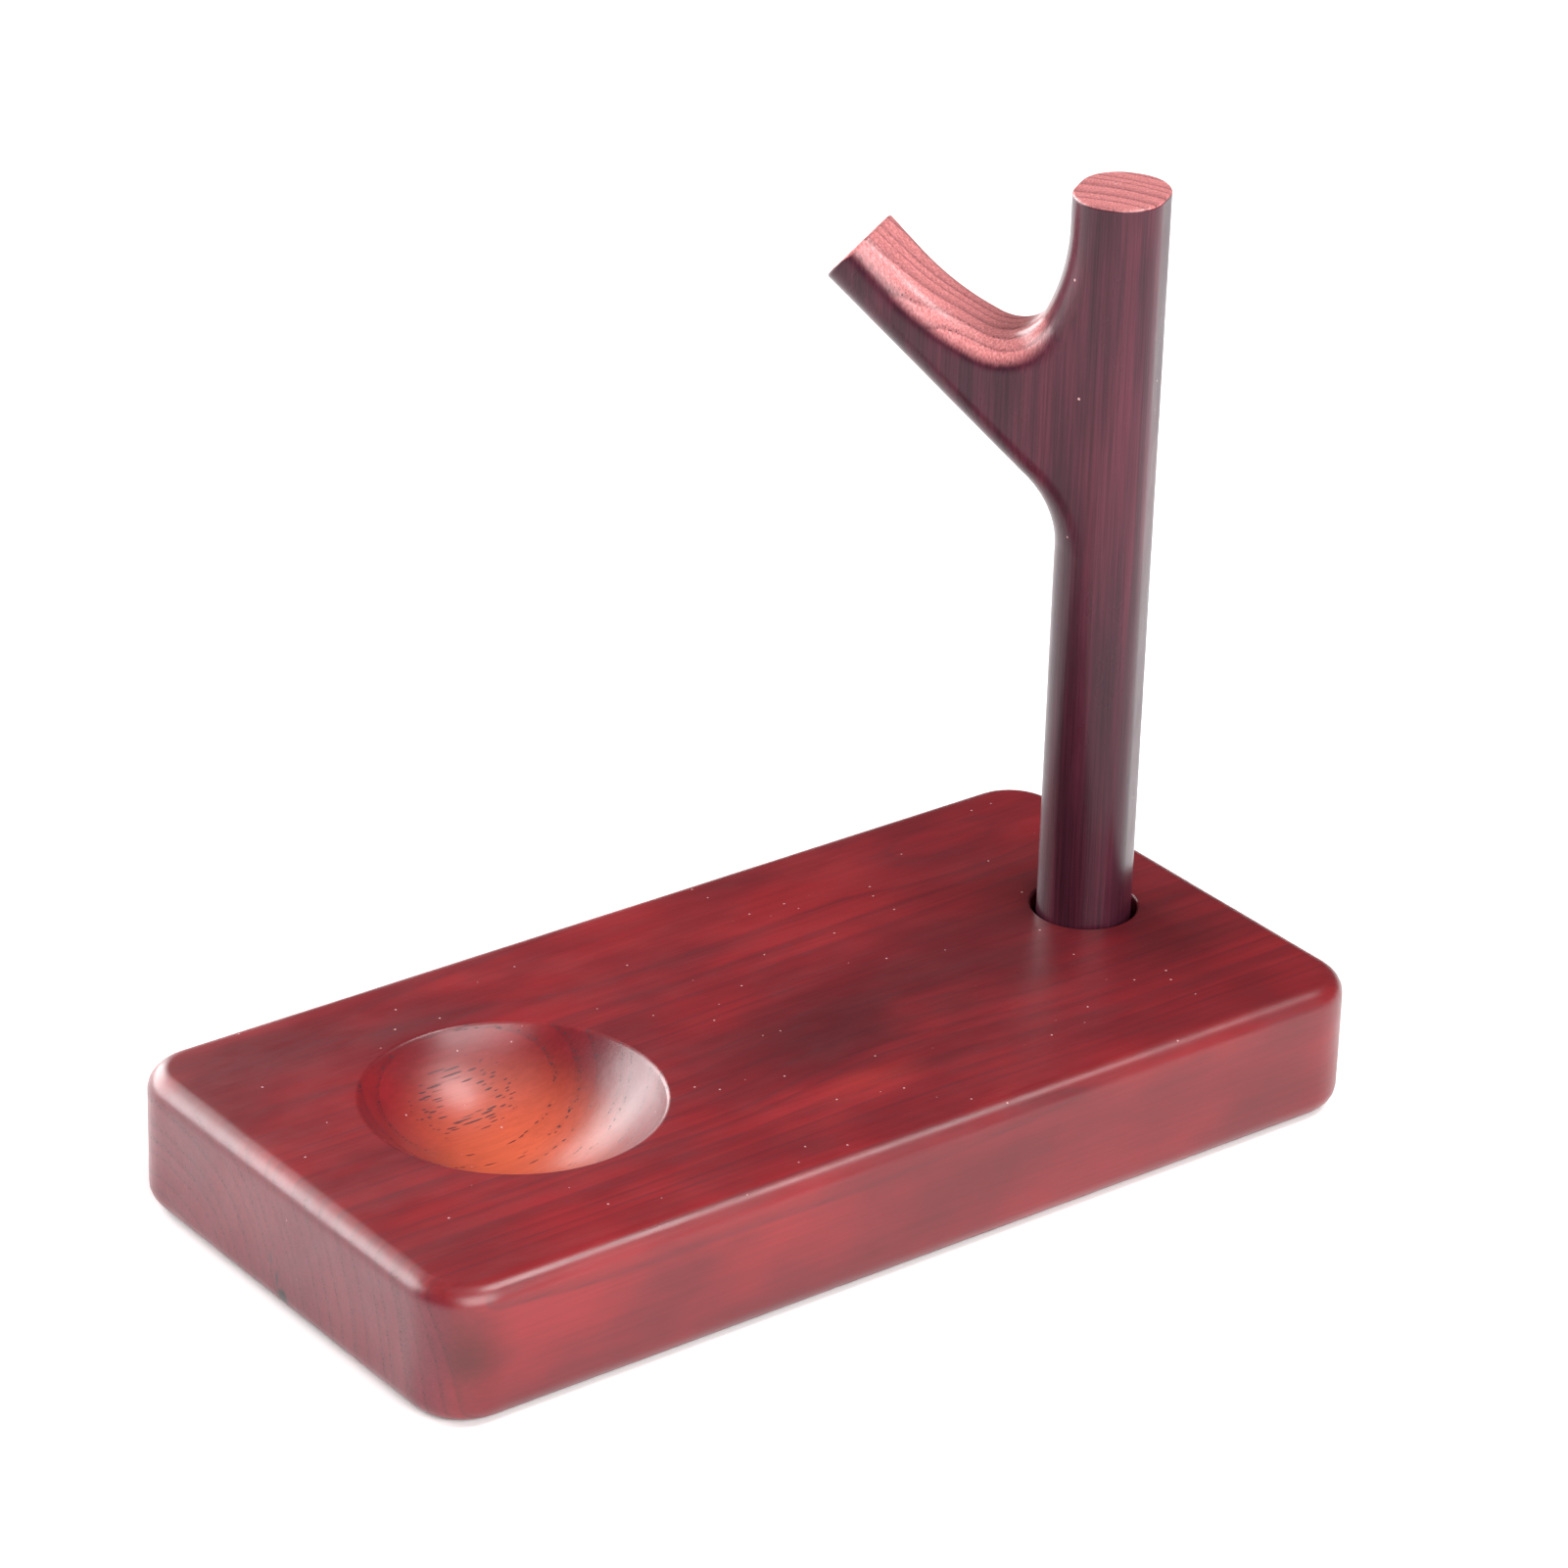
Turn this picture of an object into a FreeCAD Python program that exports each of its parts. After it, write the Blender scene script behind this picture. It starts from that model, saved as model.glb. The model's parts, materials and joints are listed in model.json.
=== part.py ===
import FreeCAD, Part
import math
import os
import Sketcher
from FreeCAD import Rotation, Vector

# Wooden razor stand: a rounded base block with a round dish and a round socket, and a
# forked post cut from one board, which stands loose in the socket and can be turned.
# Frame: Z up, origin under the middle of the base. X runs along the base, dish at -X.

SIZES = [
    # base block
    ("base_length", 150, "along X"),
    ("base_width", 74.5, "along Y"),
    ("base_height", 19.5, "along Z"),
    ("corner_radius", 8, "corners seen from above"),
    ("base_roundover", 3, "rounding of the top and bottom edges"),
    ("row_offset", 1, "the dish and socket lie this far behind the middle"),
    # dish for the brush
    ("dish_inset", 36.5, "from the left end to the middle of the dish"),
    ("dish_diameter", 40, "across the rim"),
    ("dish_depth", 11, "rim to lowest point"),
    ("dish_rim_round", 0.8, "softening of the rim"),
    # socket for the post
    ("socket_inset", 18.25, "from the right end to the socket's axis"),
    ("socket_depth", 14, "flat-bottomed, not through"),
    ("socket_clearance", 0.15, "round the widest corners of the foot"),
    ("socket_rim_chamfer", 0.4, "broken edge"),
    ("seat_gap", 0.1, "under the foot"),
    # forked post
    ("post_length", 118.5, "foot to top"),
    ("post_width", 12.3, "in the plane of the fork"),
    ("post_thickness", 14.2, "thickness of the board"),
    ("stem_roundover", 5.8, "rounding along the stem"),
    ("arm_roundover", 4.2, "rounding along the arm"),
    ("least_flat", 0.2, "half of the flat that two roundings always leave between them"),
    ("arm_bearing", 122, "degrees from +X to the arm, seen from above, at rest"),
    # outline of the fork, from the top down the inner side and round the arm
    ("crook_drop", 4.7, "straight stretch below the top"),
    ("throat_radius", 29, "gentle hollow of the stem above the crook"),
    ("throat_turn", 26, "degrees"),
    ("crook_radius", 6.9, "bottom of the crook"),
    ("crook_exit", 20.3, "degrees above level where the crook ends"),
    ("arm_hollow_radius", 35, "hollow of the arm"),
    ("arm_slope", 41.8, "degrees above level at the tip"),
    ("arm_straight", 5.9, "straight stretch at the tip"),
    ("arm_taper", 2.5, "degrees by which the underside is less steep than the top"),
    ("tip_width", 8.9, "along the cut, which is square to the arm"),
    ("armpit_radius", 12.2, "where the underside meets the stem"),
]

doc = FreeCAD.newDocument("RazorStand")
sheet = doc.addObject("Spreadsheet::Sheet", "Sizes")
for row, (alias, value, note) in enumerate(SIZES, start=1):
    sheet.set(f"A{row}", alias)
    sheet.set(f"B{row}", str(value))
    sheet.set(f"C{row}", note)
    sheet.setAlias(f"B{row}", alias)
doc.recompute()


def size(alias):
    return float(sheet.get(alias))


def new_body(label):
    body = doc.addObject("PartDesign::Body", label.title().replace("_", ""))
    body.Label = label
    return body


def new_sketch(body, name, plane, offsets):
    """A sketch on one of the body's own planes; offsets maps x, y, z to expressions."""
    sketch = body.newObject("Sketcher::SketchObject", name)
    origin = [o for o in body.Origin.OriginFeatures if o.Role == plane][0]
    sketch.AttachmentSupport = [(origin, "")]
    sketch.MapMode = "FlatFace"
    for axis, expression in offsets.items():
        sketch.setExpression(f"AttachmentOffset.Base.{axis}", expression)
    return sketch


def bind(sketch, name, expression, *constraint):
    """Adds a dimension called name and ties it to the sheet."""
    index = sketch.addConstraint(Sketcher.Constraint(*constraint))
    sketch.renameConstraint(index, name)
    sketch.setExpression(f"Constraints.{name}", expression)


def relate(sketch, *constraints):
    for constraint in constraints:
        sketch.addConstraint(Sketcher.Constraint(*constraint))


def add_feature(body, kind, name, **expressions):
    feature = body.newObject(f"PartDesign::{kind}", name)
    for prop, expression in expressions.items():
        feature.setExpression(prop, expression)
    return feature


def edge_names(shape, wanted):
    return [f"Edge{i}" for i, edge in enumerate(shape.Edges, start=1)
            if not edge.Degenerated and wanted(edge)]


def middle(edge):
    return edge.valueAt((edge.FirstParameter + edge.LastParameter) / 2)


def dress(body, kind, name, base, wanted, **expressions):
    """A Fillet or Chamfer on the edges of base that wanted picks."""
    doc.recompute()
    feature = add_feature(body, kind, name, **expressions)
    feature.Base = (base, edge_names(base.Shape, wanted))
    return feature


# ---------------------------------------------------------------- base block
TINY = 1e-4
ORIGIN = (-1, 1)
UPRIGHT_AXIS = -2

base = new_body("base_block")
plan = new_sketch(base, "Plan", "XY_Plane", {})
half_x = size("base_length") / 2
half_y = size("base_width") / 2
corners = [Vector(x, y, 0) for x, y in
           ((-half_x, -half_y), (half_x, -half_y), (half_x, half_y), (-half_x, half_y))]
for i in range(4):
    plan.addGeometry(Part.LineSegment(corners[i], corners[(i + 1) % 4]))
for i in range(4):
    relate(plan, ("Coincident", i, 2, (i + 1) % 4, 1))
relate(plan, ("Horizontal", 0), ("Horizontal", 2), ("Vertical", 1), ("Vertical", 3),
       ("Symmetric", 0, 1, 2, 1, *ORIGIN))
bind(plan, "length", "Sizes.base_length", "DistanceX", 0, 1, 0, 2, 2 * half_x)
bind(plan, "width", "Sizes.base_width", "DistanceY", 1, 1, 1, 2, 2 * half_y)

block = add_feature(base, "Pad", "Block", Length="Sizes.base_height")
block.Profile = plan

upright = dress(base, "Fillet", "Corners", block,
                lambda e: abs(e.tangentAt(e.FirstParameter).z) > 1 - TINY,
                Radius="Sizes.corner_radius")


def on_face_outline(edge):
    z = middle(edge).z
    level = abs(edge.tangentAt(edge.FirstParameter).z) < TINY
    return level and (z < TINY or z > size("base_height") - TINY)


softened = dress(base, "Fillet", "Roundover", upright, on_face_outline,
                 Radius="Sizes.base_roundover")

# The dish is a cap of a sphere, turned about its own upright axis.
rim_radius = size("dish_diameter") / 2
depth = size("dish_depth")
top_z = size("base_height")
sphere_radius = (rim_radius ** 2 + depth ** 2) / (2 * depth)
sphere_z = top_z - depth + sphere_radius
rim_angle = math.asin((top_z - sphere_z) / sphere_radius)

dish_section = new_sketch(base, "DishSection", "XZ_Plane", {
    "x": "-Sizes.base_length / 2 + Sizes.dish_inset",
    "z": "-Sizes.row_offset",
})
rim = Vector(rim_radius, top_z, 0)
above = Vector(0, top_z, 0)
lowest = Vector(0, top_z - depth, 0)
sphere = Part.Circle(Vector(0, sphere_z, 0), Vector(0, 0, 1), sphere_radius)
dish_section.addGeometry(Part.ArcOfCircle(sphere, -math.pi / 2, rim_angle))
dish_section.addGeometry(Part.LineSegment(rim, above))
dish_section.addGeometry(Part.LineSegment(above, lowest))
relate(dish_section, ("Coincident", 0, 2, 1, 1), ("Coincident", 1, 2, 2, 1),
       ("Coincident", 2, 2, 0, 1), ("Horizontal", 1), ("Vertical", 2),
       ("PointOnObject", 2, 1, UPRIGHT_AXIS), ("PointOnObject", 0, 3, UPRIGHT_AXIS))
bind(dish_section, "rim", "Sizes.dish_diameter / 2", "DistanceX", 1, 2, 1, 1, rim_radius)
bind(dish_section, "depth", "Sizes.dish_depth", "DistanceY", 2, 2, 2, 1, depth)
bind(dish_section, "level", "Sizes.base_height", "DistanceY", *ORIGIN, 1, 2, top_z)

dish = add_feature(base, "Groove", "Dish")
dish.Profile = dish_section
dish.ReferenceAxis = (dish_section, ["V_Axis"])
dish.Angle = 360


def rim_at(x):
    """Picks the circle in the top face that lies round the hole at x."""
    def wanted(edge):
        if not isinstance(edge.Curve, Part.Circle) or abs(middle(edge).z - top_z) > TINY:
            return False
        return edge.Curve.Center.distanceToPoint(Vector(x, size("row_offset"), top_z)) < TINY
    return wanted


dish_rim = dress(base, "Fillet", "DishRim", dish, rim_at(size("dish_inset") - half_x),
                 Radius="Sizes.dish_rim_round")

# The socket is bored to pass the widest corners of the foot, with a clearance all round.
# The roundings along the stem and the arm are limited by how wide these are.
stem_limit = "min(Sizes.post_width; Sizes.post_thickness) / 2 - Sizes.least_flat"
stem_rounding = f"min(Sizes.stem_roundover; {stem_limit})"
foot_reach = (f"hypot(Sizes.post_width / 2 - {stem_rounding};"
              f" Sizes.post_thickness / 2 - {stem_rounding}) + {stem_rounding}")
socket_plan = new_sketch(base, "SocketPlan", "XY_Plane", {
    "x": "Sizes.base_length / 2 - Sizes.socket_inset",
    "y": "Sizes.row_offset",
    "z": "Sizes.base_height",
})
socket_plan.addGeometry(Part.Circle(Vector(), Vector(0, 0, 1), size("post_thickness") / 2))
relate(socket_plan, ("Coincident", 0, 3, *ORIGIN))
bind(socket_plan, "radius", f"{foot_reach} + Sizes.socket_clearance",
     "Radius", 0, size("post_thickness") / 2)
socket = add_feature(base, "Pocket", "Socket", Length="Sizes.socket_depth")
socket.Profile = socket_plan
socket_rim = dress(base, "Chamfer", "SocketRim", socket, rim_at(half_x - size("socket_inset")),
                   Size="Sizes.socket_rim_chamfer")
base.Tip = socket_rim


# ---------------------------------------------------------------- forked post
def turned(heading):
    """Unit vector for a heading in degrees, from +X towards up."""
    return Vector(math.cos(math.radians(heading)), math.sin(math.radians(heading)), 0)


def hollow(start, radius, heading, turn):
    """An arc that leaves start with heading and turns right; gives it and its end."""
    centre = start + turned(heading - 90) * radius
    end = centre + turned(heading + 90 - turn) * radius
    circle = Part.Circle(centre, Vector(0, 0, 1), radius)
    angles = [math.radians(heading + 90 - a) for a in (turn, 0)]
    return Part.ArcOfCircle(circle, *angles), end


blank = new_body("post_blank")
outline = new_sketch(blank, "Outline", "XZ_Plane", {})
half_width = size("post_width") / 2
length = size("post_length")
throat = size("throat_turn")
crook_turn = 90 - throat + size("crook_exit")
arm_turn = size("arm_slope") - size("crook_exit")
DOWN = 270

foot_left = Vector(-half_width, 0, 0)
foot_right = Vector(half_width, 0, 0)
top_right = Vector(half_width, length, 0)
top_left = Vector(-half_width, length, 0)
throat_start = top_left + turned(DOWN) * size("crook_drop")
throat_arc, crook_start = hollow(throat_start, size("throat_radius"), DOWN, throat)
crook_arc, arm_start = hollow(crook_start, size("crook_radius"), DOWN - throat, crook_turn)
arm_arc, straight_start = hollow(arm_start, size("arm_hollow_radius"),
                                 180 - size("crook_exit"), arm_turn)
tip_upper = straight_start + turned(180 - size("arm_slope")) * size("arm_straight")
under = size("arm_slope") - size("arm_taper")
cut = 90 - (size("arm_slope") + under) / 2
tip_lower = tip_upper - turned(cut) * size("tip_width")
# the underside runs down to an arc that is tangent to it and to the stem
armpit = size("armpit_radius")
armpit_x = -half_width - armpit
run = armpit_x + armpit * math.sin(math.radians(under)) - tip_lower.x
under_end = tip_lower + turned(-under) * (run / math.cos(math.radians(under)))
armpit_arc, stem_left = hollow(under_end, armpit, 360 - under, 90 - under)

FOOT, BACK, TOP, INNER, THROAT, CROOK, HOLLOW, ARM, TIP, UNDER, ARMPIT, LOWER = range(12)
for geometry in (
    Part.LineSegment(foot_left, foot_right),
    Part.LineSegment(foot_right, top_right),
    Part.LineSegment(top_right, top_left),
    Part.LineSegment(top_left, throat_start),
    throat_arc,
    crook_arc,
    arm_arc,
    Part.LineSegment(straight_start, tip_upper),
    Part.LineSegment(tip_lower, tip_upper),
    Part.LineSegment(tip_lower, under_end),
    armpit_arc,
    Part.LineSegment(stem_left, foot_left),
):
    outline.addGeometry(geometry)
relate(
    outline,
    ("Coincident", FOOT, 2, BACK, 1), ("Coincident", BACK, 2, TOP, 1),
    ("Coincident", TOP, 2, INNER, 1), ("Coincident", ARM, 2, TIP, 2),
    ("Coincident", TIP, 1, UNDER, 1), ("Coincident", LOWER, 2, FOOT, 1),
    ("Tangent", INNER, 2, THROAT, 2), ("Tangent", THROAT, 1, CROOK, 2),
    ("Tangent", CROOK, 1, HOLLOW, 2), ("Tangent", HOLLOW, 1, ARM, 1),
    ("Tangent", UNDER, 2, ARMPIT, 2), ("Tangent", ARMPIT, 1, LOWER, 1),
    ("Horizontal", FOOT), ("Vertical", BACK), ("Horizontal", TOP), ("Vertical", INNER),
    ("Vertical", LOWER), ("Equal", FOOT, TOP), ("Symmetric", FOOT, 1, FOOT, 2, *ORIGIN),
)
bind(outline, "width", "Sizes.post_width", "Distance", FOOT, 2 * half_width)
bind(outline, "length", "Sizes.post_length", "Distance", BACK, length)
bind(outline, "drop", "Sizes.crook_drop", "Distance", INNER, size("crook_drop"))
bind(outline, "straight", "Sizes.arm_straight", "Distance", ARM, size("arm_straight"))
bind(outline, "tip", "Sizes.tip_width", "Distance", TIP, size("tip_width"))
for name, alias, arc in (("throat", "throat_radius", THROAT), ("crook", "crook_radius", CROOK),
                         ("hollow", "arm_hollow_radius", HOLLOW),
                         ("armpit", "armpit_radius", ARMPIT)):
    bind(outline, name, f"Sizes.{alias}", "Radius", arc, size(alias))
bind(outline, "throat_turn", "Sizes.throat_turn * 1 deg", "Angle", THROAT, math.radians(throat))
bind(outline, "crook_turn", "(90 - Sizes.throat_turn + Sizes.crook_exit) * 1 deg",
     "Angle", CROOK, math.radians(crook_turn))
bind(outline, "arm_turn", "(Sizes.arm_slope - Sizes.crook_exit) * 1 deg",
     "Angle", HOLLOW, math.radians(arm_turn))
bind(outline, "cut", "(90 - Sizes.arm_slope + Sizes.arm_taper / 2) * 1 deg",
     "Angle", TIP, math.radians(cut))
bind(outline, "underside", "(Sizes.arm_taper - Sizes.arm_slope) * 1 deg",
     "Angle", UNDER, -math.radians(under))

board = add_feature(blank, "Pad", "Board", Length="Sizes.post_thickness")
board.Profile = outline
board.SideType = "Symmetric"
doc.recompute()

# The long edges are rounded over: fully along the stem, less along the narrower arm. The
# rounding changes from one to the other round the crook and the armpit. Each pair of radii
# follows the outline.
half_stem = min(size("post_width"), size("post_thickness")) / 2
half_arm = min(size("tip_width"), size("post_thickness")) / 2
stem_round = min(size("stem_roundover"), half_stem - size("least_flat"))
arm_round = min(size("arm_roundover"), half_arm - size("least_flat"))
ROUNDOVER = {
    BACK: (stem_round, stem_round),
    INNER: (stem_round, stem_round),
    THROAT: (stem_round, stem_round),
    CROOK: (stem_round, arm_round),
    HOLLOW: (arm_round, arm_round),
    ARM: (arm_round, arm_round),
    UNDER: (arm_round, arm_round),
    ARMPIT: (arm_round, stem_round),
    LOWER: (stem_round, stem_round),
}


def stretch_of(edge):
    """The stretch of the outline that an edge of the board's two faces runs along."""
    point = middle(edge)
    if abs(abs(point.y) - size("post_thickness") / 2) > TINY:
        return None
    spot = Part.Vertex(point.x, point.z, 0)
    for stretch, geometry in enumerate(outline.Geometry):
        if geometry.toShape().distToShape(spot)[0] < TINY:
            return stretch
    return None


rounded = []
for number, edge in enumerate(board.Shape.Edges, start=1):
    radii = ROUNDOVER.get(stretch_of(edge))
    if radii:
        rounded.append((number, *radii))

blank.Placement.Rotation = Rotation(Vector(0, 0, 1), 0)
for place, expression in (
    ("Base.x", "Sizes.base_length / 2 - Sizes.socket_inset"),
    ("Base.y", "Sizes.row_offset"),
    ("Base.z", "Sizes.base_height - Sizes.socket_depth + Sizes.seat_gap"),
    ("Rotation.Angle", "(Sizes.arm_bearing - 180) * 1 deg"),
):
    blank.setExpression(f"Placement.{place}", expression)

post = doc.addObject("Part::Fillet", "ForkedPost")
post.Label = "forked_post"
post.Base = blank
post.Edges = rounded
doc.recompute()

# ---------------------------------------------------------------- checks and files
failed = [o.Name for o in doc.Objects if {"Invalid", "Error"} & set(o.State)]
if failed:
    raise RuntimeError("failed to recompute: " + ", ".join(failed))

os.makedirs("parts", exist_ok=True)
for piece in (base, post):
    shape = piece.Shape
    if shape.isNull() or not shape.isValid() or len(shape.Solids) != 1:
        raise RuntimeError(piece.Label + " is not one valid solid")
    shape.exportStep(f"parts/{piece.Label}.step")
    box = shape.optimalBoundingBox()
    print(f"{piece.Label}: {shape.Volume:.0f} mm3,"
          f" x {box.XMin:.2f}..{box.XMax:.2f}, y {box.YMin:.2f}..{box.YMax:.2f},"
          f" z {box.ZMin:.2f}..{box.ZMax:.2f}")
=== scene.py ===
import json
import math
import bmesh
import bpy
import numpy as np
from mathutils import Matrix, Vector


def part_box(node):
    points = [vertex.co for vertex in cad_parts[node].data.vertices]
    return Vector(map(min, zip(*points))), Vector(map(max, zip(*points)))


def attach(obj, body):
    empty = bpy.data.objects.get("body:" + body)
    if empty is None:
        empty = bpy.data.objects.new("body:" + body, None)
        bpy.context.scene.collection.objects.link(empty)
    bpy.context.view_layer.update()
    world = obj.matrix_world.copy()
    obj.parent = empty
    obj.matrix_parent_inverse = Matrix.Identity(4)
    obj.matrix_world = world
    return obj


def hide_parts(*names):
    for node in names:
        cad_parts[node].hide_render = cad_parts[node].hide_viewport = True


# A wooden razor stand: a base block with a round dish, and a forked post that stands in a
# socket and turns in it. Metres, Z up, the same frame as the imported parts.
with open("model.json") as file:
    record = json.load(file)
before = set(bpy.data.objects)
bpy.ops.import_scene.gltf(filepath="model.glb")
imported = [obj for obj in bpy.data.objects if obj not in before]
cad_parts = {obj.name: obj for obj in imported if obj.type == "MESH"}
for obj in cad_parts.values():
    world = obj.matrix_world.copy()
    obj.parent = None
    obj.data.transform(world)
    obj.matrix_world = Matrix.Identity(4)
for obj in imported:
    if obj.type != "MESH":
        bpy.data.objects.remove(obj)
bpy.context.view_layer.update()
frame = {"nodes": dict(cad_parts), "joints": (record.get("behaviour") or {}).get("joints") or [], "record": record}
baseLow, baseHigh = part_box("base_block")
postLow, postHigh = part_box("forked_post")
mounts = {mount["name"]: Vector(mount["pos_m"]) for mount in frame["record"]["mounts"]}
socketFoot = Vector(frame["joints"][0]["pos_m"])
print("frame loaded:", sorted(frame["nodes"]))

scene = bpy.context.scene

view = {
    "target": Vector((0.0, -0.0043, 0.0559)),
    "distance": 0.8053,
    "azimuth": 37.74,      # degrees from +Y towards +X, the way the camera looks
    "elevation": 26.57,    # degrees above the target
    "roll": 1.73,          # degrees the picture is turned
    "lens": 143.1,
    "sensor": 36.0,
    "nearest": 0.01,
}


def placeCamera(spec):
    az, el, roll = (math.radians(spec[k]) for k in ("azimuth", "elevation", "roll"))
    forward = Vector((math.sin(az) * math.cos(el), math.cos(az) * math.cos(el), -math.sin(el)))
    level = Vector((math.cos(az), -math.sin(az), 0))
    upright = level.cross(forward)
    right = level * math.cos(roll) + upright * math.sin(roll)
    up = upright * math.cos(roll) - level * math.sin(roll)
    data = bpy.data.cameras.new("camera")
    data.lens = spec["lens"]
    data.sensor_width = spec["sensor"]
    data.clip_start = spec["nearest"]
    camera = bpy.data.objects.new("camera", data)
    turn = Matrix((right, up, -forward)).transposed().to_4x4()
    camera.matrix_world = Matrix.Translation(spec["target"] - forward * spec["distance"]) @ turn
    scene.collection.objects.link(camera)
    scene.camera = camera


placeCamera(view)

studio = {
    "floor": (0.94, 0.94, 0.94),
    "floorReach": 3.0,
    "floorRoughness": 0.9,
    "floorSpecular": 0.1,
    "surround": 0.07,
    "surroundTint": (0.96, 0.97, 1.0),
    # azimuth and elevation of the light in degrees, its distance, width, height and power
    "softboxes": {
        "frontRight": (-38, 59, 0.95, 0.32, 0.32, 5.3),
        "backLeft": (111, 19, 0.80, 1.05, 0.50, 16.0),
        "front": (-98, 27, 1.15, 1.20, 0.80, 22.0),
        "overhead": (250, 78, 1.00, 0.70, 0.60, 1.0),
    },
}


def addSoftbox(name, azimuth, elevation, distance, width, height, power):
    az, el = math.radians(azimuth), math.radians(elevation)
    away = Vector((math.cos(az) * math.cos(el), math.sin(az) * math.cos(el), math.sin(el)))
    data = bpy.data.lights.new(name, "AREA")
    data.shape = "RECTANGLE"
    data.size = width
    data.size_y = height
    data.energy = power
    lamp = bpy.data.objects.new(name, data)
    lamp.location = view["target"] + away * distance
    lamp.rotation_euler = away.to_track_quat("Z", "Y").to_euler()
    scene.collection.objects.link(lamp)


def addSurround(spec):
    world = bpy.data.worlds.new("surround")
    world.use_nodes = True
    background = world.node_tree.nodes["Background"]
    background.inputs["Color"].default_value = (*spec["surroundTint"], 1)
    background.inputs["Strength"].default_value = spec["surround"]
    scene.world = world
    scene.view_settings.view_transform = "Standard"


def addFloor(spec):
    reach = spec["floorReach"]
    corners = [(-reach, -reach, 0), (reach, -reach, 0), (reach, reach, 0), (-reach, reach, 0)]
    mesh = bpy.data.meshes.new("floor")
    mesh.from_pydata(corners, [], [(0, 1, 2, 3)])
    floor = bpy.data.objects.new("floor", mesh)
    scene.collection.objects.link(floor)
    paint = bpy.data.materials.new("floorPaint")
    paint.use_nodes = True
    shader = paint.node_tree.nodes["Principled BSDF"]
    shader.inputs["Base Color"].default_value = (*spec["floor"], 1)
    shader.inputs["Roughness"].default_value = spec["floorRoughness"]
    shader.inputs["Specular IOR Level"].default_value = spec["floorSpecular"]
    mesh.materials.append(paint)


for lightName, place in studio["softboxes"].items():
    addSoftbox(lightName, *place)
addSurround(studio)
addFloor(studio)
print("camera, lights and floor placed")


# Quads of a rows by columns grid of points: each joins (i, j) to (i + 1, j + 1). A closed grid
# also joins its last column to its first.
def gridFaces(rows, columns, first=0, closed=False):
    i = np.arange(rows - 1)[:, None]
    j = np.arange(columns if closed else columns - 1)[None, :]
    k = (j + 1) % columns
    quads = np.stack(np.broadcast_arrays(i * columns + j, i * columns + k,
                                         (i + 1) * columns + k, (i + 1) * columns + j), -1)
    return (quads.reshape(-1, 4) + first).tolist()


# A mesh from one array of points and a list of faces: doubles merged, faces turned out.
def buildPiece(name, points, faces, double=2e-6, sliver=1e-6):
    mesh = bpy.data.meshes.new(name)
    mesh.from_pydata(points, [], faces)
    work = bmesh.new()
    work.from_mesh(mesh)
    bmesh.ops.remove_doubles(work, verts=work.verts, dist=double)
    bmesh.ops.dissolve_degenerate(work, edges=work.edges, dist=sliver)
    bmesh.ops.recalc_face_normals(work, faces=work.faces)
    work.to_mesh(mesh)
    work.free()
    mesh.polygons.foreach_set("use_smooth", np.ones(len(mesh.polygons), bool))
    piece = bpy.data.objects.new(name, mesh)
    scene.collection.objects.link(piece)
    return piece


def addNode(tree, kind, inputs=None, **settings):
    node = tree.nodes.new(kind)
    for key, value in settings.items():
        setattr(node, key, value)
    for key, value in (inputs or {}).items():
        if isinstance(value, bpy.types.NodeSocket):
            tree.links.new(value, node.inputs[key])
        else:
            node.inputs[key].default_value = value
    return node


def calc(tree, operation, a, b=0.0, c=0.0):
    return addNode(tree, "ShaderNodeMath", {0: a, 1: b, 2: c}, operation=operation).outputs[0]


def stretch(tree, vector, scale, shift=(0, 0, 0), turn=(0, 0, 0)):
    node = addNode(tree, "ShaderNodeMapping", {
        "Vector": vector, "Location": shift, "Rotation": turn, "Scale": scale})
    return node.outputs[0]


# Noise whose lumps are so many millimetres across and along the grain.
def noiseAt(tree, vector, across, along, shift=0.0, detail=2.0, rough=0.5):
    spread = stretch(tree, vector, (1 / across, 1 / along, 1 / across), (shift, shift, shift))
    node = addNode(tree, "ShaderNodeTexNoise", {
        "Vector": spread, "Scale": 1.0, "Detail": detail, "Roughness": rough})
    return node.outputs[0]


def ramp(tree, value, low, high, start=0.0, end=1.0):
    node = addNode(tree, "ShaderNodeMapRange", {
        "Value": value, "From Min": low, "From Max": high, "To Min": start, "To Max": end},
        interpolation_type="SMOOTHSTEP")
    return node.outputs[0]


def blend(tree, amount, first, second, how="MIX"):
    node = addNode(tree, "ShaderNodeMix", {0: amount}, data_type="RGBA", blend_type=how)
    for socket, value in ((node.inputs[6], first), (node.inputs[7], second)):
        if isinstance(value, bpy.types.NodeSocket):
            tree.links.new(value, socket)
        else:
            socket.default_value = (*value, 1)
    return node.outputs[2]


# 1 from a centre out to edge, a share of the half sizes, then falling smoothly to 0 on the
# ellipsoid of those half sizes.
def patch(tree, place, centre, size, edge=0.0):
    scale = [1000 / s for s in size]
    shift = [-c / s for c, s in zip(centre, size)]
    away = addNode(tree, "ShaderNodeVectorMath", {0: stretch(tree, place, scale, shift)},
                   operation="LENGTH").outputs["Value"]
    return ramp(tree, away, edge, 1.0, 1.0, 0.0)


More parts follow.
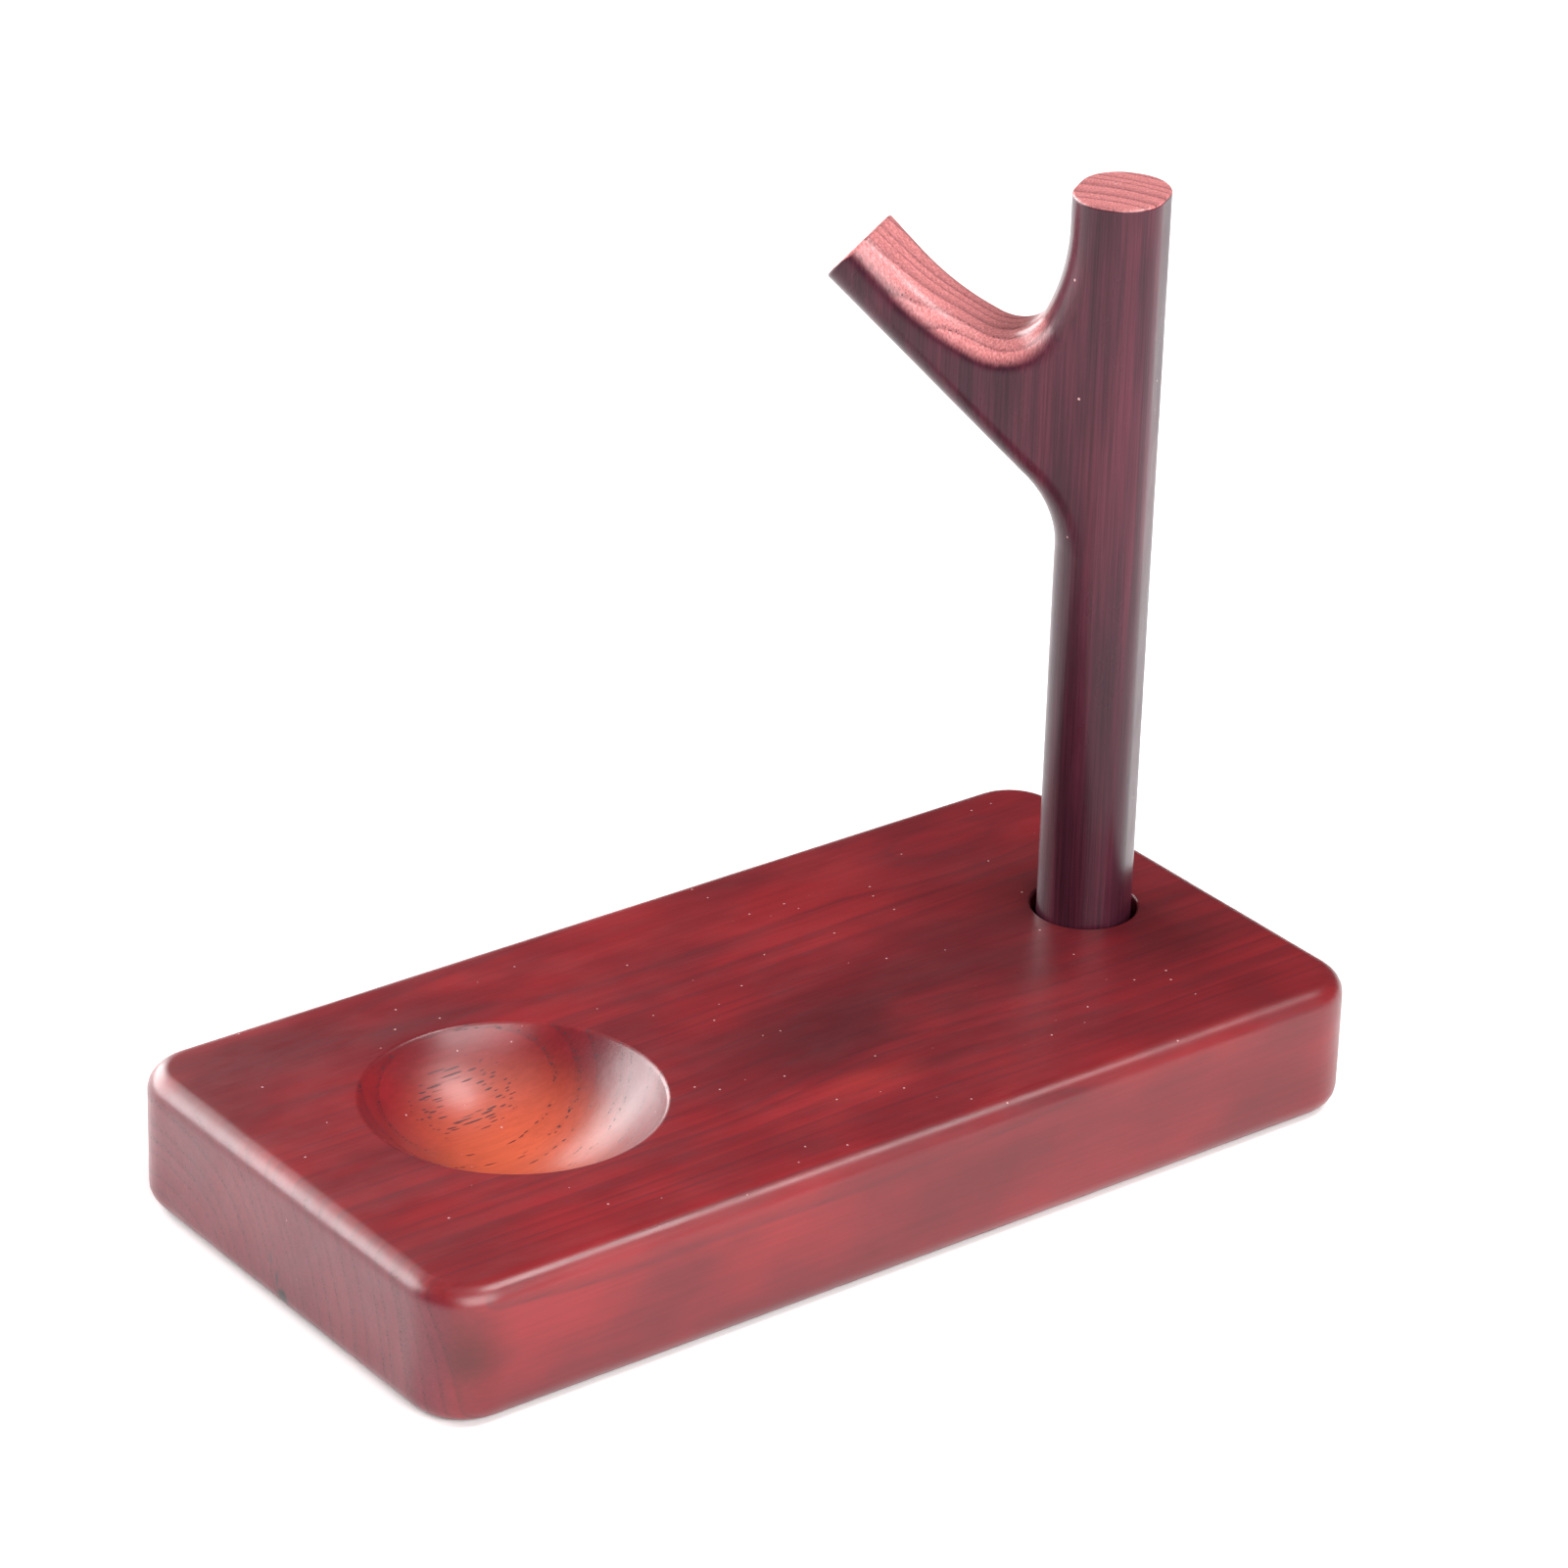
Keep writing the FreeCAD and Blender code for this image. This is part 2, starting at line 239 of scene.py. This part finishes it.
# What both woods share. A noise is its lump across and along the grain in millimetres, then its
# shift, detail and roughness; the lumps of the fibres and the stain are each piece's own. A
# range is where a smooth step starts and ends.
bothWoods = {
    "bends": (("wave", 3.1), ("ripple", 7.7)),     # what bends the rings, with its shift
    "unevenScale": 0.55,
    "uneven": 1.6,                   # how far some rings are wider than others
    "earlyFall": ((0.0, 1.0), (0.12, 0.75), (0.3, 0.3), (0.6, 0.06), (0.9, 0.0), (1.0, 0.9)),
    "poreEdge": 0.12,                # how far in a pore's colour is full
    "poreSlope": 0.36,               # how far in it is at its deepest
    "fibreNoise": (1.7, 3.0, 0.6),
    "stainNoise": (5.3, 3.0, 0.55),
    "fineNoise": (0.25, 0.9, 9.1, 2.0, 0.6),
    "glossNoise": (6.0, 14.0, 2.2, 3.0, 0.6),
    "peelNoise": (1.6, 3.0, 4.4, 2.0, 0.5),
    "stainRange": (0.32, 0.70),
    "mottleRange": (0.3, 0.62),
    "endToneAndHighlightRange": (0.22, 0.78),
    "streakRange": (0.28, 0.72),
    "glossRange": (0.3, 0.7),
    "dustRange": (0.5, 0.55),        # about half the cells hold a speck of dust
    "nickEdge": 0.35,
    "poreDull": 0.18,                # roughness that an open pore adds
    "speckCover": 0.8,
    "speckRise": 0.02,
    "ior": 1.5,
}


# Growth rings, in millimetres, with d through the growth layers and s across them:
# ring = hypot(d + a, s + b) + waves + swells, count = (ring + shift) / spacing, made uneven by a
# noise of itself. Early wood is 1 where a ring begins, falls away over its first part, and comes
# back just before the next.
def earlyWood(tree, turned, place, look):
    split = addNode(tree, "ShaderNodeSeparateXYZ", {0: turned})
    reach = calc(tree, "ADD", split.outputs[0], look["pith"][0])
    aside = calc(tree, "ADD", split.outputs[2], look["pith"][1])
    ring = calc(tree, "SQRT", calc(tree, "ADD", calc(tree, "MULTIPLY", reach, reach),
                                   calc(tree, "MULTIPLY", aside, aside)))
    for name, shift in bothWoods["bends"]:
        across, along, swing = look[name]
        sway = calc(tree, "SUBTRACT", noiseAt(tree, turned, across, along, shift, 0.0), 0.5)
        ring = calc(tree, "MULTIPLY_ADD", sway, swing, ring)
    for centre, size, swell in look["swells"]:
        ring = calc(tree, "MULTIPLY_ADD", patch(tree, place, centre, size), swell, ring)
    count = calc(tree, "DIVIDE", calc(tree, "ADD", ring, look["ringShift"]),
                 look["ringSpacing"])
    uneven = addNode(tree, "ShaderNodeTexNoise", {
        "W": count, "Scale": bothWoods["unevenScale"], "Detail": 1.0},
        noise_dimensions="1D").outputs[0]
    count = calc(tree, "MULTIPLY_ADD", uneven, bothWoods["uneven"], count)
    early = addNode(tree, "ShaderNodeValToRGB", {0: calc(tree, "FRACT", count)})
    stops = early.color_ramp.elements
    fall = bothWoods["earlyFall"]
    for stop, (position, level) in zip(stops, (fall[0], fall[-1])):
        stop.position = position
        stop.color = (level, level, level, 1)
    for position, level in fall[1:-1]:
        stops.new(position).color = (level, level, level, 1)
    return early.outputs[0]


# How deep inside a pore a point lies: long cells round Voronoi points, with
# inside = edge - distance, and the edge further out in the early wood.
def poreInside(tree, turned, early, look):
    across, along = look["poreCell"]
    cells = addNode(tree, "ShaderNodeTexVoronoi", {
        "Vector": stretch(tree, turned, (1 / across, 1 / along, 1 / across)), "Scale": 1.0})
    edge = calc(tree, "MULTIPLY_ADD", early, look["poreEarly"], look["poreLate"])
    return calc(tree, "SUBTRACT", edge, cells.outputs["Distance"])


# Dust caught in the finish: a dot round the point of about half the cells. Few of the points lie
# near enough to the surface to show.
def dustSpecks(tree, turned, look):
    cells = addNode(tree, "ShaderNodeTexVoronoi", {
        "Vector": stretch(tree, turned, [1 / look["speckCell"]] * 3), "Scale": 1.0})
    chance = addNode(tree, "ShaderNodeSeparateColor", {0: cells.outputs["Color"]}).outputs[0]
    holds = ramp(tree, chance, *bothWoods["dustRange"])
    size = look["speckSize"]
    dot = ramp(tree, cells.outputs["Distance"], size / 2, size, 1, 0)
    return calc(tree, "MULTIPLY", dot, holds)


# How much a surface faces along the grain: the dot product of its normal and the grain's axis,
# and endBelow times that where it faces the other way.
def facingAlongGrain(tree, normal, look):
    facing = addNode(tree, "ShaderNodeVectorMath", {0: normal, 1: look["grainAxis"]},
                     operation="DOT_PRODUCT").outputs["Value"]
    endwise = calc(tree, "MAXIMUM", facing, calc(tree, "MULTIPLY", facing, -look["endBelow"]))
    return ramp(tree, endwise, *look["endRange"])


# Colour, from the ground up: stain, early wood, patches, end grain tone (on the post also a painted
# highlight and a painted reflection), fibre streaks, pores and nicks, dust.
def woodColour(tree, place, parts, look):
    early, stain = parts["early"], parts["stain"]
    colour = blend(tree, ramp(tree, stain, *bothWoods["stainRange"]), look["deep"],
                   look["bright"])
    colour = blend(tree, calc(tree, "MULTIPLY", early, look["earlyStrength"]), colour,
                   look["early"])
    for centre, size, tone, strength, mottle in look["patches"]:
        broken = ramp(tree, stain, *bothWoods["mottleRange"], strength, strength * (1 - mottle))
        cover = calc(tree, "MULTIPLY", patch(tree, place, centre, size), broken)
        colour = blend(tree, cover, colour, tone)
    fine = noiseAt(tree, parts["turned"], *bothWoods["fineNoise"])
    # End tone: the end grain's own colour, and on the post also a painted highlight on the saddle and a painted
    # reflection of the floor on the arm's underside.
    endToneAndHighlight = blend(tree, ramp(tree, fine, *bothWoods["endToneAndHighlightRange"]), look["endDeepAndHighlight"],
                    look["endBrightAndHighlight"])
    endToneAndHighlight = blend(tree, calc(tree, "MULTIPLY", early, look["endRings"]), endToneAndHighlight,
                    look["early"])
    colour = blend(tree, calc(tree, "MULTIPLY", parts["endwise"], look["endStrength"]), colour,
                   endToneAndHighlight)
    streak = ramp(tree, parts["fibre"], *bothWoods["streakRange"], 1 - look["streak"],
                  1 + look["streak"])
    grey = addNode(tree, "ShaderNodeCombineColor", {0: streak, 1: streak, 2: streak})
    colour = blend(tree, 1.0, colour, grey.outputs[0], "MULTIPLY")
    colour = blend(tree, parts["openPore"], colour, look["poreTone"])
    for centre, size, tone, strength in look["nicks"]:
        spot = patch(tree, place, centre, size, bothWoods["nickEdge"])
        colour = blend(tree, calc(tree, "MULTIPLY", spot, strength), colour, tone)
    return blend(tree, calc(tree, "MULTIPLY", parts["speck"], bothWoods["speckCover"]), colour,
                 look["speckTone"])


# Relief in millimetres: orange peel and fibres, less the sunken pores, plus the dust.
def woodRelief(tree, parts, look):
    peel = noiseAt(tree, parts["turned"], *bothWoods["peelNoise"])
    height = calc(tree, "MULTIPLY", peel, look["peel"])
    height = calc(tree, "MULTIPLY_ADD", parts["fibre"], look["fibreRelief"], height)
    height = calc(tree, "MULTIPLY_ADD", parts["poreDip"], -look["poreDepth"], height)
    height = calc(tree, "MULTIPLY_ADD", parts["speck"], bothWoods["speckRise"], height)
    return addNode(tree, "ShaderNodeBump", {
        "Height": height, "Strength": 1.0, "Distance": 0.001}).outputs[0]


# Ring-porous wood under a clear coat, all in millimetres of the piece's own place.
def woodMaterial(name, look):
    material = bpy.data.materials.new(name)
    material.use_nodes = True
    tree = material.node_tree
    shader = tree.nodes["Principled BSDF"]
    coordinates = addNode(tree, "ShaderNodeTexCoord")
    place = coordinates.outputs["Object"]
    turned = stretch(tree, place, (1000, 1000, 1000),
                     turn=[math.radians(angle) for angle in look["grainTurn"]])
    early = earlyWood(tree, turned, place, look)
    inside = poreInside(tree, turned, early, look)
    endwise = facingAlongGrain(tree, coordinates.outputs["Normal"], look)
    bare = calc(tree, "MAXIMUM", patch(tree, place, *look["openPores"]), endwise)
    shown = ramp(tree, bare, 0, 1, *look["poreStrength"])
    pore = ramp(tree, inside, 0.0, bothWoods["poreEdge"])
    dip = ramp(tree, inside, 0.0, bothWoods["poreSlope"])
    parts = {
        "turned": turned,
        "early": early,
        "endwise": endwise,
        "openPore": calc(tree, "MULTIPLY", pore, shown),
        "poreDip": calc(tree, "MULTIPLY", dip, shown),
        "fibre": noiseAt(tree, turned, *look["fibre"], *bothWoods["fibreNoise"]),
        "stain": noiseAt(tree, turned, *look["stainLumps"], *bothWoods["stainNoise"]),
        "speck": dustSpecks(tree, turned, look),
    }
    tree.links.new(woodColour(tree, place, parts, look), shader.inputs["Base Color"])
    gloss = ramp(tree, noiseAt(tree, turned, *bothWoods["glossNoise"]),
                 *bothWoods["glossRange"], *look["gloss"])
    gloss = calc(tree, "MULTIPLY_ADD", parts["openPore"], bothWoods["poreDull"], gloss)
    tree.links.new(gloss, shader.inputs["Roughness"])
    shader.inputs["IOR"].default_value = bothWoods["ior"]
    shader.inputs["Specular IOR Level"].default_value = look["specular"]
    shader.inputs["Coat Weight"].default_value = look["coat"]
    shader.inputs["Coat Roughness"].default_value = look["coatRoughness"]
    shader.inputs["Coat IOR"].default_value = bothWoods["ior"]
    relief = woodRelief(tree, parts, look)
    tree.links.new(relief, shader.inputs["Normal"])
    tree.links.new(relief, shader.inputs["Coat Normal"])
    return material


# Lengths in metres. The look's sizes and places are in millimetres, in the stand's frame. A swell
# is its centre, half sizes and how far it bends the rings. A patch is its centre, half sizes,
# tone, strength and how far the stain breaks it up, and a nick is the same without the last.
baseValues = {
    "cornerRadius": 0.008,
    "roundover": 0.003,
    "dishRadius": 0.020,
    "dishRimRound": 0.0008,
    "socketRadius": 0.0073,
    "socketRimRound": 0.0005,
    "splitX": 0.018,          # where the dish's half of the top meets the socket's half
    "edgeStep": 0.0012,       # spacing of the points round the outline
    "points": {               # how many points go along each stretch
        "corner": 9,
        "split": 44,
        "top": 14,
        "dishRim": 8,
        "bowl": 48,
        "socketRim": 6,
        "socketWall": 8,
        "socketFloor": 6,
        "edge": 13,
        "side": 12,
        "underside": 10,
    },
    "look": {
        "grainTurn": (0, 0, 90),
        "grainAxis": (1, 0, 0),
        "pith": (28, 6),                 # how far off the heart of the tree lies
        "ringShift": 0.5,
        "ringSpacing": 2.6,
        "wave": (26, 110, 4),            # lump across and along the grain, and its swing
        "ripple": (8, 34, 0.9),
        "swells": [((8, -13, 19.5), (34, 20, 12), 3.5), ((52, 26, 19.5), (26, 14, 12), -2.5)],
        "poreCell": (0.42, 7.0),
        "poreEarly": 0.36,
        "poreLate": 0.05,
        "fibre": (0.5, 24),
        "stainLumps": (16, 38),
        "deep": (0.118, 0.008, 0.012),
        "bright": (0.225, 0.012, 0.016),
        "early": (0.085, 0.008, 0.012),
        "earlyStrength": 0.45,
        "patches": [
            ((46, -10, 19.5), (62, 38, 9), (0.066, 0.005, 0.008), 0.85, 0.35),
            ((10, -9, 19.5), (25, 17, 9), (0.056, 0.005, 0.008), 0.85, 0.6),
            ((48, 22, 19.5), (17, 11, 8), (0.065, 0.007, 0.012), 0.85, 0.5),
            ((1, -22, 19.5), (13, 5, 5), (0.40, 0.028, 0.022), 0.5, 0.5),
            ((-66, -28, 19.5), (21, 15, 9), (0.10, 0.009, 0.013), 0.9, 0.3),
            ((-66, 10, 19.5), (19, 28, 9), (0.12, 0.009, 0.013), 0.7, 0.3),
            # Painted shade: the front-left corner, darker where it faces the camera and takes less reflection.
            ((-70.8, -35.8, 10.5), (8.0, 7.5, 8.5), (0.055, 0.003, 0.003), 0.95, 0.25),
            ((-36, 4, 9), (20, 23, 13), (0.68, 0.125, 0.058), 0.95, 0.2),     # the dish
        ],
        "endRange": (0.55, 0.95),
        "endBelow": 1.0,
        "endStrength": 0.75,
        "endDeepAndHighlight": (0.09, 0.009, 0.020),
        "endBrightAndHighlight": (0.15, 0.014, 0.028),
        "endRings": 0.5,
        "streak": 0.08,
        "poreTone": (0.045, 0.008, 0.014),
        "poreStrength": (0.28, 0.9),     # on long grain, and in the dish and on end grain
        "openPores": ((-38.5, 1, 32.18), (24.6, 24.6, 24.6), 0.975),     # the dish
        "nicks": [((-75, -0.4, 2.4), (1.6, 1.6, 1.7), (0.010, 0.007, 0.008), 0.97),
                  ((-75, 0.8, 4.6), (1.5, 0.55, 1.7), (0.03, 0.010, 0.014), 0.85),
                  ((-75, 2.1, 6.9), (1.5, 0.45, 1.5), (0.05, 0.012, 0.018), 0.7)],
        "speckCell": 2.6,
        "speckSize": 0.07,
        "speckTone": (0.62, 0.36, 0.36),
        "gloss": (0.31, 0.41),
        "specular": 0.42,
        "coat": 0.29,
        "coatRoughness": 0.31,
        "peel": 0.020,
        "fibreRelief": 0.010,
        "poreDepth": 0.014,
    },
}


# One half of the top's flat outline, as points and outward normals, anticlockwise: p(s) walks
# the rounded rectangle from the split line round the end and back.
def outlineHalf(side, shape):
    inner = shape["cornerRadius"] - shape["roundover"]
    halfX, halfY = baseHigh.x - shape["cornerRadius"], baseHigh.y - shape["cornerRadius"]
    step, split = shape["edgeStep"], shape["splitX"]
    angle = np.linspace(0, math.pi / 2, shape["points"]["corner"])
    straightX = np.linspace(split * side, halfX, int((halfX - split * side) / step))
    straightY = np.linspace(-halfY, halfY, int(2 * halfY / step))
    ones = np.ones_like
    stretches = [
        (straightX, -ones(straightX) * (halfY + inner), 0 * straightX, -ones(straightX)),
        (halfX + inner * np.sin(angle), -halfY - inner * np.cos(angle),
         np.sin(angle), -np.cos(angle)),
        (ones(straightY) * (halfX + inner), straightY, ones(straightY), 0 * straightY),
        (halfX + inner * np.cos(angle), halfY + inner * np.sin(angle),
         np.cos(angle), np.sin(angle)),
        (straightX[::-1], ones(straightX) * (halfY + inner), 0 * straightX, ones(straightX)),
    ]
    rows = [np.column_stack(s)[(0 if i == 0 else 1):] for i, s in enumerate(stretches)]
    loop = np.vstack(rows)
    if side < 0:
        loop *= -1      # half a turn about Z makes it the other end
    return loop[:, :2], loop[:, 2:]


# Radius and height from the flat top over the rounded rim, then down the sphere:
# r = R sin(t), z = centre - R cos(t).
def dishProfile(shape, top, lowest):
    rim, soft = shape["dishRadius"], shape["dishRimRound"]
    depth = top - lowest
    sphere = (rim ** 2 + depth ** 2) / (2 * depth)
    centre = lowest + sphere
    rimX = math.sqrt((sphere + soft) ** 2 - (centre - top + soft) ** 2)
    lean = math.atan2(rimX, centre - top + soft)
    turn = np.linspace(0, lean, shape["points"]["dishRim"])
    t = np.linspace(lean, 0, shape["points"]["bowl"])[1:]
    radius = np.concatenate([rimX - soft * np.sin(turn), sphere * np.sin(t)])
    height = np.concatenate([top - soft + soft * np.cos(turn), centre - sphere * np.cos(t)])
    return radius, height


# Radius and height over the broken edge, down the wall and across the floor.
def socketProfile(shape, top, bottom):
    radius, soft, points = shape["socketRadius"], shape["socketRimRound"], shape["points"]
    turn = np.linspace(0, math.pi / 2, points["socketRim"])
    down = np.linspace(top - soft, bottom, points["socketWall"])[1:]
    inward = np.linspace(radius, 0, points["socketFloor"])[1:]
    across = [radius + soft * (1 - np.sin(turn)), np.full(len(down), radius), inward]
    height = [top - soft + soft * np.cos(turn), down, np.full(len(inward), bottom)]
    return np.concatenate(across), np.concatenate(height)


# Flat top from its boundary in to a round hole, then down the hole's profile:
# p(u, i) = boundary_i + u (circle_i - boundary_i).
def topHalf(boundary, centre, radius, height, rings):
    ray = boundary - centre
    ray /= np.linalg.norm(ray, axis=1)[:, None]
    circle = centre + ray * radius[0]
    u = np.linspace(0, 1, rings)[:, None, None]
    flat = boundary + u * (circle - boundary)
    hole = centre + ray * radius[1:, None, None]
    plan = np.concatenate([flat, hole])
    z = np.concatenate([np.full(rings, height[0]), height[1:]])
    return np.dstack([plan, np.broadcast_to(z[:, None], plan.shape[:2])])


# The side and underside: out and down round the top edge, down the wall and in round the bottom
# edge with p = outline + offset normal, then to the middle with p = share outline.
def baseSkirt(edge, normal, shape, top, floorZ):
    soft, points = shape["roundover"], shape["points"]
    turn = np.linspace(0, math.pi / 2, points["edge"])
    wall = np.linspace(top - soft, floorZ + soft, points["side"])[1:-1]
    out = np.concatenate([soft * np.sin(turn), np.full(len(wall), soft), soft * np.cos(turn)])
    z = np.concatenate([top - soft + soft * np.cos(turn), wall,
                        floorZ + soft - soft * np.sin(turn)])
    shrink = np.linspace(1, 0, points["underside"])[1:, None, None]
    plan = np.concatenate([edge + normal * out[:, None, None], edge * shrink])
    z = np.concatenate([z, np.full(len(shrink), floorZ)])
    return np.dstack([plan, np.broadcast_to(z[:, None], plan.shape[:2])])


def buildBase(shape):
    top = baseHigh.z
    dish = mounts["brush_dish"]
    points, faces, outer = [], [], []
    count = 0
    wells = (
        (1, socketFoot, socketProfile(shape, top, socketFoot.z)),
        (-1, dish, dishProfile(shape, top, dish.z)),
    )
    for side, well, (radius, height) in wells:
        edge, normal = outlineHalf(side, shape)
        outer.append((edge, normal))
        split = np.linspace(edge[-1], edge[0], shape["points"]["split"])[1:-1]
        grid = topHalf(np.vstack([edge, split]), np.array(well)[:2], radius, height,
                       shape["points"]["top"])
        faces += gridFaces(grid.shape[0], grid.shape[1], count, closed=True)
        points.append(grid.reshape(-1, 3))
        count += grid.shape[0] * grid.shape[1]
    edge = np.vstack([outer[0][0], outer[1][0]])
    normal = np.vstack([outer[0][1], outer[1][1]])
    skirt = baseSkirt(edge, normal, shape, top, baseLow.z)
    faces += gridFaces(skirt.shape[0], skirt.shape[1], count, closed=True)
    points.append(skirt.reshape(-1, 3))
    return buildPiece("baseBlock", np.vstack(points), faces)


baseBlock = buildBase(baseValues)
print("base block:", len(baseBlock.data.polygons), "faces")

postValues = {
    "bearing": 122,           # degrees from +X to the arm
    "width": 0.0123,
    "thickness": 0.0142,
    "stemRound": 0.0058,
    "armRound": 0.0042,
    "crookDrop": 0.0047,
    "throat": (0.029, 26),    # radius and turn of each hollow down the inner side
    "crook": (0.0069, 84.3),
    "armHollow": (0.035, 21.5),
    "armStraight": 0.0059,
    "armTaper": 2.5,
    "tipWidth": 0.0089,
    "armpit": 0.0122,
    "endRound": 0.0004,
    "endSegments": 3,
    "endAngle": 50,           # edges sharper than this many degrees are softened
    "step": 0.0005,
    "stripColumns": 14,
    "look": {
        **baseValues["look"],
        "grainTurn": (90, 53, 0),
        "grainAxis": (0, 0, 1),
        "pith": (45, 4),
        "ringShift": 0.0,
        "ringSpacing": 2.2,
        "wave": (18, 90, 4),
        "ripple": (5, 40, 0.4),
        "swells": [((50, 12, 98), (9, 14, 16), 1.6)],
        "poreCell": (0.40, 6.0),
        "poreEarly": 0.28,
        "poreLate": 0.04,
        "fibre": (0.28, 22),
        "stainLumps": (3.4, 40),
        "deep": (0.038, 0.007, 0.015),
        "bright": (0.078, 0.013, 0.026),
        "early": (0.030, 0.010, 0.016),
        "patches": [((socketFoot.x * 1000, socketFoot.y * 1000, 40), (18, 18, 44),
                     (0.022, 0.004, 0.009), 0.75, 0.3)],
        "nicks": [],
        # The bright salmon end tone is partly the end grain's own colour and partly a painted highlight on the
        # saddle; through endBelow it also paints the floor's reflection on the arm's underside.
        "endRange": (0.22, 0.58),
        "endBelow": 0.45,
        "endStrength": 0.95,
        "endDeepAndHighlight": (0.47, 0.14, 0.14),
        "endBrightAndHighlight": (0.64, 0.25, 0.25),
        "endRings": 0.45,
        "streak": 0.3,
        "poreTone": (0.030, 0.008, 0.012),
        "poreStrength": (0.3, 0.8),
        "openPores": ((0, 0, -500), (1, 1, 1), 0.5),     # far off, so the post has no such place
        "speckCell": 3.4,
        "gloss": (0.26, 0.36),
        "specular": 0.2,
        "coat": 0.24,
        "coatRoughness": 0.20,
    },
}


# Walks straight legs and right-hand arcs: each leg is (length or radius, turn, round at its
# start, round at its end). Gives points, outward normals and rounds.
def walk(start, heading, legs, step):
    points, normals, rounds = [], [], []
    here = np.array(start, float)
    for amount, turn, first, last in legs:
        length = amount if turn == 0 else amount * math.radians(turn)
        s = np.linspace(0, 1, max(3, int(length / step)))
        angle = np.radians(heading - turn * s)
        out = np.column_stack([np.sin(angle), -np.cos(angle)])     # right of the heading
        if turn == 0:
            leg = here + np.outer(s * amount, [math.cos(angle[0]), math.sin(angle[0])])
        else:
            leg = here + amount * (out[0] - out)
        points.append(leg)
        normals.append(out)
        rounds.append(first + (last - first) * s)
        here = leg[-1]
        heading -= turn
    keep = [slice(0 if i == 0 else 1, None) for i in range(len(points))]
    return [np.concatenate([leg[k] for leg, k in zip(rows, keep)])
            for rows in (points, normals, rounds)]


# The rounded-over strip along a stretch of outline: for t from -90 to 90 degrees,
# p = outline - r (1 - cos t) n, and the distance off the middle is (half - r) + r sin t.
def wrap(points, normals, rounds, half, columns):
    t = np.linspace(0, math.pi / 2, columns)
    r = rounds[:, None]
    inset = r * (1 - np.cos(t))
    off = (half - r) + r * np.sin(t)
    inset = np.hstack([inset[:, ::-1], inset])
    off = np.hstack([-off[:, ::-1], off])
    plane = points[:, None, :] - inset[..., None] * normals[:, None, :]
    return np.dstack([plane[..., 0], off, plane[..., 1]])


# The three stretches of the post's outline, in its own plane with X away from the arm: down the
# crook to the tip, back along the arm's underside and down the stem, and up the plain back.
def postOutline(shape):
    halfWidth, length = shape["width"] / 2, postHigh.z - postLow.z
    stem, arm, step = shape["stemRound"], shape["armRound"], shape["step"]
    slope = sum(shape[k][1] for k in ("throat", "crook", "armHollow")) - 90
    inner = walk((-halfWidth, length), 270, [
        (shape["crookDrop"], 0, stem, stem), (*shape["throat"], stem, stem),
        (*shape["crook"], stem, arm), (*shape["armHollow"], arm, arm),
        (shape["armStraight"], 0, arm, arm)], step)
    tip = inner[0][-1]
    under = slope - shape["armTaper"]
    cut = math.radians(90 - (slope + under) / 2)
    low = tip - shape["tipWidth"] * np.array([math.cos(cut), math.sin(cut)])
    pit, fall = shape["armpit"], math.radians(under)
    run = (-halfWidth - pit + pit * math.sin(fall) - low[0]) / math.cos(fall)
    drop = low[1] - run * math.sin(fall) - pit * math.cos(fall)
    outer = walk(low, 360 - under, [
        (run, 0, arm, arm), (pit, 90 - under, arm, stem), (drop, 0, stem, stem)], step)
    back = walk((halfWidth, 0), 90, [(length, 0, stem, stem)], step)
    return inner, outer, back


# Softens the sharp edges at the post's top, foot and tip.
def softenEnds(post, shape):
    ends = post.modifiers.new("softEnds", "BEVEL")
    ends.width = shape["endRound"]
    ends.segments = shape["endSegments"]
    ends.limit_method = "ANGLE"
    ends.angle_limit = math.radians(shape["endAngle"])
    smooth = post.modifiers.new("evenNormals", "WEIGHTED_NORMAL")
    smooth.keep_sharp = False


def buildPost(shape):
    points, faces, ids, count = [], [], [], 0
    for stretchOfEdge in postOutline(shape):
        strip = wrap(*stretchOfEdge, shape["thickness"] / 2, shape["stripColumns"])
        rows, columns = strip.shape[:2]
        faces += gridFaces(rows, columns, count)
        ids.append(np.arange(rows * columns).reshape(rows, columns) + count)
        points.append(strip.reshape(-1, 3))
        count += rows * columns
    inner, outer, back = ids
    faces.append(np.concatenate([inner[:, -1], outer[:, -1], back[:, -1]]).tolist())
    faces.append(np.concatenate([inner[:, 0], outer[:, 0], back[:, 0]])[::-1].tolist())
    for first, second in ((back[-1], inner[0]), (inner[-1], outer[0]), (outer[-1], back[0])):
        faces.append(np.concatenate([first, second[::-1]]).tolist())
    place = (Matrix.Translation((socketFoot.x, socketFoot.y, postLow.z))
             @ Matrix.Rotation(math.radians(shape["bearing"] - 180), 4, "Z"))
    points = np.vstack(points) @ np.array(place.to_3x3()).T + np.array(place.translation)
    post = buildPiece("forkedPost", points, faces)
    softenEnds(post, shape)
    return post


forkedPost = buildPost(postValues)
print("forked post:", len(forkedPost.data.polygons), "faces")

baseWood = woodMaterial("baseWood", baseValues["look"])
postWood = woodMaterial("postWood", postValues["look"])
for piece, body, node, slot, wood in (
        (baseBlock, "base", "base_block", "base_wood", baseWood),
        (forkedPost, "post", "forked_post", "post_wood", postWood)):
    piece.data.materials.append(wood)
    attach(piece, body)
    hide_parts(node)
print("wood on both pieces")
